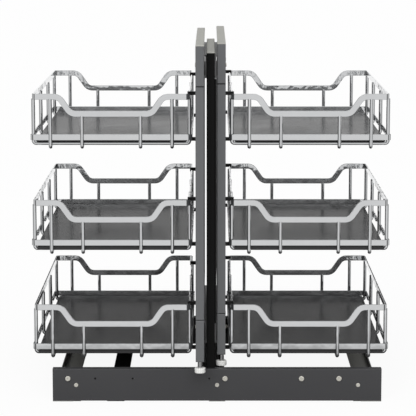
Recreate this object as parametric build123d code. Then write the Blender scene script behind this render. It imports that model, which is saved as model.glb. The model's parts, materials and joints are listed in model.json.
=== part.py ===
from build123d import *
import os

# Blind corner organizer: a floor base, a tower that slides sideways on it,
# and two basket frames that draw forward on the sides of the tower.
# X runs along the cabinet front, Y into the cabinet, Z up, in millimetres.
# The origin is on the cabinet floor, at the centre of the floor screw pattern.

# Fits
overrun = 5.0  # how far a cut runs past the face that it opens
running_gap = 0.35  # between slide members that pass each other
shaft_gap = 0.05  # between a roller and its spindle, on the radius
hole_gap = 0.1  # between a screw or rivet and its hole, on the radius
seat_gap = 0.1  # between a tray and the wires that it lies on
clear_gap = 0.5  # between the tower and the rails that it passes over

# Base rails and floor bars
rail_length = 645.0
rail_top = 65.0
rail_sheet = 2.0
rail_flange = 18.0
rail_bend = 1.2
base_depth = 510.0
bar_sheet = 1.5
bar_flange = 14.0
outer_bar_x = 302.5
outer_bar_width = 40.0
centre_bar_width = 32.0
brace_bar_x = -199.0
brace_bar_width = 34.0
brace_tab_height = 18.0
outer_tab_width = 34.0
outer_tab_top = 56.0
centre_tab_width = 15.0
centre_tab_top = 42.0
floor_screw_y = 180.0
floor_screw_radius = 2.75

# Fasteners
rivet_x = 276.5
rivet_z = 33.0
rivet_radius = 2.0
rivet_head_radius = 4.0
rivet_head = 1.4
rivet_tail = 0.8
rivet_tail_radius = 2.6
screw_radius = 2.0
screw_head_radius = 5.2
screw_head = 2.6
screw_tip_gap = 0.3
cross_recess_width = 1.1
cross_recess_depth = 1.4
cross_recess_share = 1.3  # of the head radius
end_screw_x = -292.5
slide_screw_z = 46.0
slide_screw_xs = (15.5, 165.5, 239.0)

# Slides: a fixed, a middle and a moving member nested in each other
slide_sheet = 1.2
slide_flange_stop = 1.0
cross_slide_start = 8.0
cross_slide_length = 242.0
cross_slide_height = 32.0
cross_slide_thickness = 14.0
cross_boss = 2.0
cross_boss_radius = 6.0
draw_slide_start = -215.0
draw_slide_length = 365.0
draw_slide_height = 45.0
upper_slide_drop = 47.0  # from the top of a frame to the middle of its upper slide
lower_slide_rise = 41.5  # from the bottom of a frame to the middle of its lower slide
draw_screw_shares = (0.12, 0.5, 0.88)  # of the slide's length
draw_screw_head_radius = 4.0
draw_screw_head = 2.0

# Tower and its carriage
tower_x = -12.5
tower_width = 16.0
tower_front = -245.0
tower_drop = 19.0  # from the top of the frames to the top of the tower
tower_post_depth = 30.0
tower_wall = 1.5
tower_beam_height = 58.0
tower_low_beam_height = 65.0
tower_cap = 2.0
tower_trim = 3.0
tower_trim_gap = 0.5  # above and below the trim, to the slides
tube_round = 1.8
carriage_width = 40.0
carriage_height = 34.0
carriage_wall = 2.0
bracket_sheet = 3.0
bracket_reach = 52.0
bracket_screw_shares = (0.25, 0.75)  # of the reach past the carriage

# Basket frames
frame_gap = 4.5
frame_thickness = 16.5
frame_front = -239.0
frame_depth = 550.0
frame_top = 702.0
frame_bottom = 90.0
beam_sheet = 2.0
top_beam_height = 76.0
bottom_beam_height = 82.0
front_post_depth = 84.0
rear_post_depth = 40.0
rear_post_inset = 7.0  # from the back of a frame to the back of its rear post
post_wall = 1.5
post_setback = 1.0
post_chamfer = 0.8
end_cap = 3.0
end_cap_round = 1.5
top_cover = 2.0
left_set_forward = 64.0  # how much further forward the left frame is fixed on its slides than the right one

# Rollers
roller_radius = 10.5
roller_height = 10.0
roller_bottom = 66.5
roller_setback = 13.0
roller_round = 1.5
stem_radius = 4.5
spindle_radius = 3.0
spindle_head_radius = 5.0
spindle_head = 2.0
roller_end_gap = 0.3

# Baskets: welded wire with two flat-bar loops
basket_width = 305.0
basket_depth = 550.0
basket_height = 100.5
basket_front = -246.0
basket_gap = 10.5
tier_heights = (91.5, 298.0, 504.5)
tier_names = ("lower", "middle", "upper")
wire_radius = 3.7
wire_bend = 5.0
weld = 1.0
rim_thickness = 3.0
rim_height = 11.5
rim_corner = 9.0
rim_dip = 33.0
rim_bend = 18.0
rim_high_share = 0.17  # of the width, at each end
rim_low_share = 0.245  # of the width, where the dip has reached its floor
low_loop_bottom = 10.0
long_wire_shares = (-0.385, -0.185, 0.185, 0.385)  # of the width, from the middle
cross_wire_shares = (-0.475, -0.165, 0.165, 0.475)  # of the depth, from the middle

# Trays
tray_side_gap = 6.2  # from the outside of the rim to the board, on each side
tray_end_gap = 8.0  # from the outside of the rim to the board, at each end
tray_thickness = 3.0
tray_corner = 8.0
tray_edge = 0.8

# Basket hooks
hook_width = 9.0
hook_lip = 2.5
hook_drop = 5.0
hook_arm = 4.0
front_hook_inset = 22.5  # from the front of a basket to the middle of its hooks
rear_hook_inset = 25.0  # from the back of a rear post to the middle of its hooks

# Places that follow from the sizes above
base_front = -base_depth / 2
web_back = base_front + rail_sheet
low_corner = (Align.MIN, Align.MIN, Align.MIN)
from_end = (Align.CENTER, Align.CENTER, Align.MIN)
sides = {"left": -1, "right": 1}
ends = {"front": -1, "rear": 1}
cross_slide_web = -web_back - cross_boss  # distance from the middle to the fixed member
bracket_face = cross_slide_web - cross_slide_thickness
tower_side = tower_width / 2
frame_inner = tower_side + frame_gap
frame_outer = frame_inner + frame_thickness
draw_slide_thickness = frame_gap + frame_thickness - beam_sheet
frame_middle = (frame_inner + frame_outer) / 2
basket_middle = frame_outer + basket_gap + basket_width / 2
basket_back = basket_front + basket_depth
frame_back = frame_front + frame_depth
rear_post_back = frame_back - rear_post_inset
upper_slide_z = frame_top - upper_slide_drop
lower_slide_z = frame_bottom + lower_slide_rise
tower_top = frame_top - tower_drop
tower_back = draw_slide_start + draw_slide_length
tower_foot = rail_top + clear_gap
carriage_low = tower_foot - carriage_height
wire_width = 2 * wire_radius
rim_inside = rim_thickness / 2


def block(x0, x1, y0, y1, z0, z1):
    """Return a box between two coordinates on each axis, in either order."""
    size = Box(abs(x1 - x0), abs(y1 - y0), abs(z1 - z0), align=low_corner)
    return Pos(min(x0, x1), min(y0, y1), min(z0, z1)) * size


def rod(start, direction, radius, length):
    """Return a round bar that starts at a point and runs along a direction."""
    return Plane(origin=start, z_dir=direction) * Cylinder(radius, length, align=from_end)


def hole(point, direction, radius):
    """Return the cutter for a round hole through sheet around a point."""
    start = Vector(*point) - Vector(*direction) * overrun
    return rod(start, direction, radius, 2 * overrun)


def group(shapes):
    """Return separate solids as one node."""
    return Compound(children=[solid for shape in shapes for solid in shape.solids()])


def across(side, distance):
    """Return the X place at a distance from the tower's middle, on one side."""
    return tower_x + side * distance


def pan_screw(face, direction, length, head_radius, head):
    """Return a pan-head screw with a cross recess, driven in along a direction."""
    out = Vector(*direction) * -1
    place = Plane(origin=face, z_dir=out)
    body = Cylinder(head_radius, head, align=from_end)
    body = fillet(body.edges().sort_by(Axis.Z)[-1], head / 2)
    slot_length = head_radius * cross_recess_share
    recess = Box(slot_length, cross_recess_width, cross_recess_depth)
    recess += Box(cross_recess_width, slot_length, cross_recess_depth)
    body -= Pos(0, 0, head) * recess
    return place * body + rod(face, direction, screw_radius, length)


def rivet(face, direction, grip):
    """Return a domed rivet through a grip of sheet, with a flat tail behind it."""
    out = Vector(*direction) * -1
    head = Cylinder(rivet_head_radius, rivet_head, align=from_end)
    head = fillet(head.edges().sort_by(Axis.Z)[-1], rivet_head / 2)
    tail_start = Vector(*face) + Vector(*direction) * grip
    tail = rod(tail_start, direction, rivet_tail_radius, rivet_tail)
    return Plane(origin=face, z_dir=out) * head + rod(face, direction, rivet_radius, grip) + tail


# Base


def base_rail(end):
    """Return a base rail: an upright web with its screw holes and a top flange."""
    face = end * -base_front
    back = end * -web_back
    inner = face - end * rail_flange
    half = rail_length / 2
    rail = block(-half, half, face, inner, bar_sheet, rail_top)
    rail -= block(-half - overrun, half + overrun, back, inner - end * overrun, 0, rail_top - rail_sheet)
    outer_edges = rail.edges().filter_by(Axis.X).group_by(Axis.Z)[-1]
    front_edge = outer_edges.sort_by(Axis.Y)[0 if end < 0 else -1]
    rail = fillet(front_edge, rail_bend)
    screw_places = [(x, slide_screw_z) for place in slide_screw_xs for x in (-place, place)]
    screw_places += [(end_screw_x, slide_screw_z)]
    for x, z in screw_places:
        rail -= hole((x, face, z), (0, 1, 0), screw_radius + hole_gap)
    for x in (-rivet_x, 0, rivet_x):
        rail -= hole((x, face, rivet_z), (0, 1, 0), rivet_radius + hole_gap)
    return rail


def upright_tabs(x, width, top):
    """Return the upright tabs that stand behind the webs of both rails."""
    low, high = x - width / 2, x + width / 2
    tabs = []
    for end in ends.values():
        back = end * -web_back
        tabs.append(block(low, high, back, back - end * bar_sheet, 0, top))
    return tabs


def floor_bar(x, width, tab_x, tab_width, tab_top):
    """Return a floor bar that runs under both rails, with a tab behind each web."""
    bar = block(x - width / 2, x + width / 2, base_front, -base_front, 0, bar_sheet)
    for tab in upright_tabs(tab_x, tab_width, tab_top):
        bar += tab
    return bar


def outer_floor_bar(side):
    """Return an outer floor bar with its stiffening flange and floor screw holes."""
    x = side * outer_bar_x
    tab_x = side * (rivet_x - end_screw_x) / 2
    bar = floor_bar(x, outer_bar_width, tab_x, outer_tab_width, outer_tab_top)
    edge = x + side * outer_bar_width / 2
    inner_y = -base_front - rail_flange - rail_sheet
    bar += block(edge, edge - side * bar_sheet, -inner_y, inner_y, 0, bar_flange)
    for end in ends.values():
        bar -= hole((x, end * floor_screw_y, 0), (0, 0, 1), floor_screw_radius)
        bar -= hole((side * rivet_x, end * -web_back, rivet_z), (0, 1, 0), rivet_radius + hole_gap)
        bar -= hole((side * -end_screw_x, end * -web_back, slide_screw_z), (0, 1, 0), screw_radius + hole_gap)
    return bar


def centre_floor_bar():
    """Return the plain floor bar under the middle of the rails."""
    bar = floor_bar(0, centre_bar_width, 0, centre_tab_width, centre_tab_top)
    for end in ends.values():
        bar -= hole((0, end * -web_back, rivet_z), (0, 1, 0), rivet_radius + hole_gap)
    return bar


def brace_bar():
    """Return the brace bar that lies between the webs, left of the middle."""
    half = brace_bar_width / 2
    low, high = brace_bar_x - half, brace_bar_x + half
    bar = block(low, high, web_back, -web_back, 0, bar_sheet)
    for end in ends.values():
        back = end * -web_back
        bar += block(low, high, back, back - end * bar_sheet, 0, brace_tab_height)
    return bar


def base_rivets():
    """Return the rivets that hold the floor bars' tabs to both rails."""
    grip = rail_sheet + bar_sheet
    places = [(x, end) for end in ends.values() for x in (-rivet_x, 0, rivet_x)]
    return group([rivet((x, end * -base_front, rivet_z), (0, -end, 0), grip) for x, end in places])


def base_screws():
    """Return the screws of the cross slides and the end screw of each rail."""
    slide_grip = rail_sheet + cross_boss + slide_sheet - screw_tip_gap
    end_grip = rail_sheet + bar_sheet
    screws = []
    for end in ends.values():
        places = [(x, slide_grip) for x in slide_screw_xs] + [(end_screw_x, end_grip)]
        for x, grip in places:
            face = (x, end * -base_front, slide_screw_z)
            screws.append(pan_screw(face, (0, -end, 0), grip, screw_head_radius, screw_head))
    return group(screws)


# Slides


def slide_member(level, height, thickness, place):
    """Return one nested slide member; level 0 is fixed, 1 the middle, 2 the moving one."""
    step = slide_sheet + running_gap
    half = height / 2 - level * step
    inside = half - slide_sheet
    edge = thickness if level == 2 else thickness - slide_flange_stop
    start = level * step
    web = thickness - slide_sheet if level == 2 else start
    member = place(web, web + slide_sheet, -half, half)
    member += place(start, edge, inside, half)
    member += place(start, edge, -half, -inside)
    return member


def cross_slide_member(level, end):
    """Return a member of the cross slide behind one rail."""
    x0, x1 = cross_slide_start, cross_slide_start + cross_slide_length

    def place(w0, w1, z0, z1):
        y0, y1 = end * (cross_slide_web - w0), end * (cross_slide_web - w1)
        return block(x0, x1, y0, y1, slide_screw_z + z0, slide_screw_z + z1)

    member = slide_member(level, cross_slide_height, cross_slide_thickness, place)
    web = end * cross_slide_web
    if level == 0:
        for x in slide_screw_xs:
            member += rod((x, end * -web_back, slide_screw_z), (0, -end, 0), cross_boss_radius, cross_boss)
            member -= hole((x, web, slide_screw_z), (0, 1, 0), screw_radius + hole_gap)
    if level == 2:
        for x in bracket_screw_xs():
            member -= hole((x, end * bracket_face, slide_screw_z), (0, 1, 0), screw_radius + hole_gap)
    return member


def draw_slide_member(level, side, centre):
    """Return a member of a draw slide on one side of the tower."""
    y0, y1 = draw_slide_start, draw_slide_start + draw_slide_length

    def place(w0, w1, z0, z1):
        x0, x1 = across(side, tower_side + w0), across(side, tower_side + w1)
        return block(x0, x1, y0, y1, centre + z0, centre + z1)

    member = slide_member(level, draw_slide_height, draw_slide_thickness, place)
    if level == 2:
        for y in draw_screw_ys():
            point = (across(side, frame_outer - beam_sheet), y, centre)
            member -= hole(point, (1, 0, 0), screw_radius + hole_gap)
    return member


def draw_slides(level, side):
    """Return the upper and lower draw slide members of one level on one side."""
    heights = (upper_slide_z, lower_slide_z)
    return group([draw_slide_member(level, side, z) for z in heights])


def draw_screw_ys():
    """Return the Y places of a draw slide's screws."""
    return [draw_slide_start + share * draw_slide_length for share in draw_screw_shares]


# Tower and carriage


def bracket_screw_xs():
    """Return the X places of the screws between a bracket and the moving member."""
    start = cross_slide_start
    return [start + share * bracket_reach for share in bracket_screw_shares]


def tube(x0, x1, y0, y1, z0, z1, wall, axis):
    """Return an open rectangular tube along the Y or the Z axis, its long edges rounded."""
    outside = block(x0, x1, y0, y1, z0, z1)
    outside = fillet(outside.edges().filter_by(axis), tube_round)
    low, high = min(x0, x1) + wall, max(x0, x1) - wall
    if axis == Axis.Y:
        return outside - block(low, high, y0 - overrun, y1 + overrun, z0 + wall, z1 - wall)
    return outside - block(low, high, y0 + wall, y1 - wall, z0 - overrun, z1 + overrun)


def tower_tube(y0, y1, z0, z1, axis):
    """Return a tube of the tower's width."""
    return tube(tower_x - tower_side, tower_x + tower_side, y0, y1, z0, z1, tower_wall, axis)


def tower_cap_strip():
    """Return the cap strip on top of the tower."""
    low, high = tower_x - tower_side, tower_x + tower_side
    strip = block(low, high, tower_front, tower_back, tower_top, tower_top + tower_cap)
    return fillet(strip.edges().group_by(Axis.Z)[-1], tower_cap / 2)


def tower_trim_strip():
    """Return the strip that widens the front post on its right, between the draw slides."""
    half = draw_slide_height / 2 + tower_trim_gap
    side = tower_x + tower_side
    back = tower_front + tower_post_depth
    strip = block(side, side + tower_trim, tower_front, back, lower_slide_z + half, upper_slide_z - half)
    outer_edges = strip.edges().filter_by(Axis.Z).group_by(Axis.X)[-1]
    return fillet(outer_edges, tower_trim / 2)


def carriage_beam():
    """Return the tube that carries the tower between the two cross slides."""
    half = carriage_width / 2
    y = bracket_face - bracket_sheet
    return tube(tower_x - half, tower_x + half, -y, y, carriage_low, tower_foot, carriage_wall, Axis.Y)


def carriage_bracket(end):
    """Return the plate between a moving cross slide member and the carriage beam."""
    low_x = tower_x - carriage_width / 2
    high_x = cross_slide_start + bracket_reach
    half = cross_slide_height / 2
    low_z, high_z = slide_screw_z - half, slide_screw_z + half
    face = end * bracket_face
    plate = block(low_x, high_x, face, face - end * bracket_sheet, low_z, high_z)
    for x in bracket_screw_xs():
        plate -= hole((x, face, slide_screw_z), (0, 1, 0), screw_radius + hole_gap)
    return plate


def bracket_screws():
    """Return the screws that hold the brackets to the moving cross slide members."""
    grip = bracket_sheet + slide_sheet
    screws = []
    for end in ends.values():
        for x in bracket_screw_xs():
            face = (x, end * (bracket_face - bracket_sheet), slide_screw_z)
            screws.append(pan_screw(face, (0, end, 0), grip, draw_screw_head_radius, draw_screw_head))
    return group(screws)


# Basket frames


def frame_beam(side, z0, z1, forward):
    """Return a beam: a channel open to the tower that houses a draw slide."""
    inner, outer = across(side, frame_inner), across(side, frame_outer)
    web = across(side, frame_outer - beam_sheet)
    past = across(side, frame_inner - overrun)
    y0, y1 = frame_front + end_cap - forward, frame_back - forward
    beam = block(inner, outer, y0, y1, z0, z1)
    beam -= block(past, web, y0 - overrun, y1 + overrun, z0 + beam_sheet, z1 - beam_sheet)
    centre = upper_slide_z if z1 > upper_slide_z else lower_slide_z
    for y in draw_screw_ys():
        beam -= hole((web, y, centre), (1, 0, 0), screw_radius + hole_gap)
    return beam


def frame_post(side, y0, depth, forward):
    """Return an upright tube between the two beams, its front eased at both ends."""
    inner, outer = across(side, frame_inner), across(side, frame_outer)
    low = frame_bottom + bottom_beam_height
    high = frame_top - top_cover - top_beam_height
    y = y0 - forward
    post = tube(inner, outer, y, y + depth, low, high, post_wall, Axis.Z)
    front_ends = post.edges().filter_by(GeomType.LINE).filter_by(Axis.X).group_by(Axis.Y)[0]
    return chamfer(front_ends, post_chamfer)


def frame_end_caps(side, forward):
    """Return the caps that close the front ends of both beams."""
    inner, outer = across(side, frame_inner), across(side, frame_outer)
    y = frame_front - forward
    heights = (
        (frame_bottom, frame_bottom + bottom_beam_height),
        (frame_top - top_cover - top_beam_height, frame_top - top_cover),
    )
    caps = []
    for z0, z1 in heights:
        cap = block(inner, outer, y, y + end_cap, z0, z1)
        caps.append(fillet(cap.faces().sort_by(Axis.Y)[0].edges(), end_cap_round))
    return group(caps)


def frame_top_cover(side, forward):
    """Return the cover strip on the top beam."""
    inner, outer = across(side, frame_inner), across(side, frame_outer)
    y0, y1 = frame_front - forward, frame_back - forward
    strip = block(inner, outer, y0, y1, frame_top - top_cover, frame_top)
    return fillet(strip.edges().group_by(Axis.Z)[-1], top_cover / 2)


def draw_screws(side):
    """Return the screws that hold the moving draw slide members in the beams."""
    grip = beam_sheet + slide_sheet
    screws = []
    for z in (upper_slide_z, lower_slide_z):
        for y in draw_screw_ys():
            face = (across(side, frame_outer), y, z)
            screws.append(pan_screw(face, (-side, 0, 0), grip, draw_screw_head_radius, draw_screw_head))
    return group(screws)


def roller_centre(side, forward):
    """Return the X and Y place of a roller's axis."""
    return across(side, frame_middle), frame_front + roller_setback - forward


def roller(side, forward):
    """Return a nylon roller with its bore and a recess for the spindle's head."""
    x, y = roller_centre(side, forward)
    body = rod((x, y, roller_bottom), (0, 0, 1), roller_radius, roller_height)
    body = fillet(body.edges().filter_by(GeomType.CIRCLE), roller_round)
    start = (x, y, roller_bottom - overrun)
    body -= rod(start, (0, 0, 1), spindle_radius + shaft_gap, roller_height + 2 * overrun)
    recess = spindle_head + 2 * roller_end_gap
    return body - rod(start, (0, 0, 1), spindle_head_radius + roller_end_gap, overrun + recess)


def roller_stem(side, forward):
    """Return the stem under a frame, with the spindle and head that hold its roller."""
    x, y = roller_centre(side, forward)
    shoulder = roller_bottom + roller_height + roller_end_gap
    head_low = roller_bottom + roller_end_gap
    stem = rod((x, y, shoulder), (0, 0, 1), stem_radius, frame_bottom - shoulder)
    stem += rod((x, y, head_low), (0, 0, 1), spindle_radius, shoulder - head_low)
    return stem + rod((x, y, head_low), (0, 0, 1), spindle_head_radius, spindle_head)


# Baskets


def bent_wire(points):
    """Return a round wire along straight runs and tangent bends."""
    path = FilletPolyline(*points, radius=wire_bend)
    return sweep((path ^ 0) * Circle(wire_radius), path)


def flat_loop(width, depth, low):
    """Return a closed flat-bar loop on edge, with rounded corners."""
    inner_corner = rim_corner - rim_thickness
    outline = RectangleRounded(width, depth, rim_corner)
    outline -= RectangleRounded(width - 2 * rim_thickness, depth - 2 * rim_thickness, inner_corner)
    return Pos(0, 0, low) * extrude(outline, rim_height)


def rim_dip_bar(y):
    """Return the stretch of rim that dips in the middle of the front or back."""
    high = basket_height - rim_height / 2
    low = high - rim_dip
    end_x = basket_width / 2 - rim_corner
    high_x = basket_width / 2 - rim_high_share * basket_width
    low_x = basket_width / 2 - rim_low_share * basket_width
    right_half = [(low_x, y, low), (high_x, y, high), (end_x, y, high)]
    left_half = [(-x, place_y, z) for x, place_y, z in reversed(right_half)]
    path = FilletPolyline(*left_half, *right_half, radius=rim_bend)
    section = Plane(origin=path @ 0, x_dir=(0, 1, 0), z_dir=path % 0)
    return sweep(section * Rectangle(rim_thickness, rim_height), path)


def basket():
    """Return one welded basket about its own middle, its cross wires' underside at zero."""
    half_width = basket_width / 2
    half_depth = basket_depth / 2
    rim_low = basket_height - rim_height
    frame = flat_loop(basket_width, basket_depth, rim_low)
    cut_x = half_width - rim_corner
    for end in ends.values():
        edge = end * (half_depth + overrun)
        inside = end * (half_depth - rim_thickness - overrun)
        frame -= block(-cut_x, cut_x, edge, inside, rim_low - overrun, basket_height + overrun)
        frame += rim_dip_bar(end * (half_depth - rim_inside))
    wire_x = half_width - rim_inside
    wire_y = half_depth - rim_inside
    low_width = 2 * (wire_x + wire_radius - weld + rim_thickness)
    low_depth = 2 * (wire_y - wire_radius + weld)
    frame += flat_loop(low_width, low_depth, low_loop_bottom)
    top = rim_low + weld
    for share in cross_wire_shares:
        y = share * basket_depth
        run = [(-wire_x, y, top), (-wire_x, y, wire_radius), (wire_x, y, wire_radius), (wire_x, y, top)]
        frame += bent_wire(run)
    low_z = wire_radius - wire_width + weld
    low_edge = rim_high_share + (rim_low_share - rim_high_share) / 2
    for share in long_wire_shares:
        x = share * basket_width
        dipped = abs(x) < half_width - low_edge * basket_width
        end_z = top - rim_dip if dipped else top
        run = [(x, -wire_y, end_z), (x, -wire_y, low_z), (x, wire_y, low_z), (x, wire_y, end_z)]
        frame += bent_wire(run)
    return frame


def tray():
    """Return one tray board about its own middle, its underside at zero."""
    width = basket_width - 2 * tray_side_gap
    depth = basket_depth - 2 * tray_end_gap
    board = extrude(RectangleRounded(width, depth, tray_corner), tray_thickness)
    return chamfer(board.edges().group_by(Axis.Z)[-1], tray_edge)


def basket_place(side, tier_z):
    """Return where a basket's own origin goes."""
    return Pos(across(side, basket_middle), (basket_front + basket_back) / 2, tier_z)


def upper_hook(side, y, tier_z):
    """Return a hook from a post over a basket's rim."""
    post = across(side, frame_outer)
    rim = across(side, frame_outer + basket_gap)
    past = across(side, frame_outer + basket_gap + rim_thickness)
    lip = across(side, frame_outer + basket_gap + rim_thickness + hook_lip)
    y0, y1 = y - hook_width / 2, y + hook_width / 2
    top = tier_z + basket_height
    hook = block(post, rim, y0, y1, top - hook_arm, top + hook_lip)
    hook += block(rim, lip, y0, y1, top, top + hook_lip)
    return hook + block(past, lip, y0, y1, top - hook_drop, top + hook_lip)


def lower_hook(side, y, tier_z):
    """Return a rest from a post under a basket's lower loop."""
    reach = frame_outer + basket_gap + rim_inside - wire_radius + weld
    post = across(side, frame_outer)
    loop = across(side, reach - rim_thickness)
    past = across(side, reach)
    y0, y1 = y - hook_width / 2, y + hook_width / 2
    low = tier_z + low_loop_bottom
    hook = block(post, loop, y0, y1, low - hook_lip, low + hook_arm)
    return hook + block(loop, past, y0, y1, low - hook_lip, low)


def basket_hooks(side, forward):
    """Return the hooks that carry three baskets on both posts of a frame."""
    front = basket_front + front_hook_inset
    back = rear_post_back - rear_hook_inset - forward
    hooks = []
    for tier_z in tier_heights:
        for y in (front, back):
            hooks.append(upper_hook(side, y, tier_z))
            hooks.append(lower_hook(side, y, tier_z))
    return group(hooks)


def base_nodes():
    """Return the base and the cross slides, by node name."""
    nodes = {f"{name}_rail": base_rail(end) for name, end in ends.items()}
    nodes |= {f"{name}_floor_bar": outer_floor_bar(side) for name, side in sides.items()}
    nodes["centre_floor_bar"] = centre_floor_bar()
    nodes["brace_bar"] = brace_bar()
    nodes["base_rivets"] = base_rivets()
    nodes["base_screws"] = base_screws()
    levels = ("fixed", "middle", "moving")
    for level, name in enumerate(levels):
        nodes[f"cross_slides_{name}"] = group([cross_slide_member(level, end) for end in ends.values()])
    return nodes


def tower_nodes():
    """Return the tower and its carriage, by node name."""
    front_post_back = tower_front + tower_post_depth
    rear_post_front = tower_back - tower_post_depth
    low_beam_low = lower_slide_z - tower_low_beam_height / 2
    low_beam_top = lower_slide_z + tower_low_beam_height / 2
    top_beam_low = tower_top - tower_beam_height
    return {
        "carriage_beam": carriage_beam(),
        "carriage_brackets": group([carriage_bracket(end) for end in ends.values()]),
        "bracket_screws": bracket_screws(),
        "tower_front_post": tower_tube(tower_front, front_post_back, tower_foot, tower_top, Axis.Z),
        "tower_rear_post": tower_tube(rear_post_front, tower_back, tower_foot, tower_top, Axis.Z),
        "tower_top_beam": tower_tube(front_post_back, rear_post_front, top_beam_low, tower_top, Axis.Y),
        "tower_bottom_beam": tower_tube(front_post_back, rear_post_front, low_beam_low, low_beam_top, Axis.Y),
        "tower_top_cap": tower_cap_strip(),
        "tower_trim": tower_trim_strip(),
    }


def frame_nodes(name, side, forward):
    """Return one basket frame with its slides, baskets and roller, by node name."""
    top_beam_low = frame_top - top_cover - top_beam_height
    nodes = {
        "slides_fixed": draw_slides(0, side),
        "slides_middle": draw_slides(1, side),
        "slides_moving": draw_slides(2, side),
        "slide_screws": draw_screws(side),
        "top_beam": frame_beam(side, top_beam_low, frame_top - top_cover, forward),
        "bottom_beam": frame_beam(side, frame_bottom, frame_bottom + bottom_beam_height, forward),
        "front_post": frame_post(side, frame_front + post_setback, front_post_depth, forward),
        "rear_post": frame_post(side, rear_post_back - rear_post_depth, rear_post_depth, forward),
        "end_caps": frame_end_caps(side, forward),
        "top_cover": frame_top_cover(side, forward),
        "basket_hooks": basket_hooks(side, forward),
        "roller_stem": roller_stem(side, forward),
        "roller": roller(side, forward),
    }
    wire_basket = basket()
    board = tray()
    tray_lift = wire_width + seat_gap
    for tier, tier_z in zip(tier_names, tier_heights):
        nodes[f"{tier}_basket"] = basket_place(side, tier_z) * wire_basket
        nodes[f"{tier}_tray"] = basket_place(side, tier_z + tray_lift) * board
    return {f"{name}_{piece}": shape for piece, shape in nodes.items()}


def main():
    """Build every node and write one STEP file for each."""
    nodes = base_nodes() | tower_nodes()
    nodes |= frame_nodes("left", sides["left"], left_set_forward)
    nodes |= frame_nodes("right", sides["right"], 0)
    os.makedirs("parts", exist_ok=True)
    for node, shape in nodes.items():
        export_step(shape, f"parts/{node}.step")
    print(len(nodes), "nodes written")


main()
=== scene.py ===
"""Looks of a blind corner organizer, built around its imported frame.

Lengths are in metres. X runs along the cabinet front, Y into the cabinet, Z up.
"""
import json
import logging
import math
from dataclasses import dataclass
from enum import Enum

import bpy
from mathutils import Matrix, Quaternion, Vector


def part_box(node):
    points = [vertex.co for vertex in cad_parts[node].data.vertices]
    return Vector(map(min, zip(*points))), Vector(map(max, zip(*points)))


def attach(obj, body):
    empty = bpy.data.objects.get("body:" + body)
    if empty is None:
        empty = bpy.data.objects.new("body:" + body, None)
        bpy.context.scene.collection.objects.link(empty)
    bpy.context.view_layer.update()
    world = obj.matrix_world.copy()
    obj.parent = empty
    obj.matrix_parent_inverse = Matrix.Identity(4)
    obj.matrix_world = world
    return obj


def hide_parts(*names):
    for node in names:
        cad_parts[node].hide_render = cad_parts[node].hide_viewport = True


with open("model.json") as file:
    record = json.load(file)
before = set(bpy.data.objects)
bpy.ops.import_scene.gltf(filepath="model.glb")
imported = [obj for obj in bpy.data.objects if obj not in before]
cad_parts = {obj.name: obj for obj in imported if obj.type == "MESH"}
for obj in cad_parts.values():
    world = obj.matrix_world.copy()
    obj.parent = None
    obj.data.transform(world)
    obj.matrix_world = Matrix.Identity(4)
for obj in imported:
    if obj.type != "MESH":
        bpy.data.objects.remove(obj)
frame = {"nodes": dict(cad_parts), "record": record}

log = logging.getLogger("organizer")

Colour = tuple[float, float, float]
Span = tuple[float, float]
Value = bpy.types.NodeSocket | float

X_AXIS = Vector((1, 0, 0))
Y_AXIS = Vector((0, 1, 0))
Z_AXIS = Vector((0, 0, 1))
QUARTER_TURN = math.radians(90)
WHITE = (1.0, 1.0, 1.0, 1.0)
FULL = 1.0
APPEAR: Span = (0.0, 1.0)
VANISH: Span = (1.0, 0.0)
FACING = 0.99  # share of a direction in the normal of a face that faces it
SMUDGES_PER_MOTTLE = 2


class Side(Enum):
    """The two basket frames."""

    LEFT = "left"
    RIGHT = "right"


class Tier(Enum):
    """The baskets of one frame, from the floor up."""

    LOWER = "lower"
    MIDDLE = "middle"
    UPPER = "upper"


class Slot(Enum):
    """The record's material slots."""

    RAIL = "rail_paint"
    BAR = "bar_paint"
    BLACK = "black_paint"
    FRAME = "frame_paint"
    COVER = "cover_grey"
    HOOK = "hook_black"
    CHROME = "chrome_wire"
    TRAY = "tray_board"
    NYLON = "nylon_white"
    STEM = "stem_steel"
    SLIDE = "slide_steel"
    BRIGHT = "bright_steel"


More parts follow.
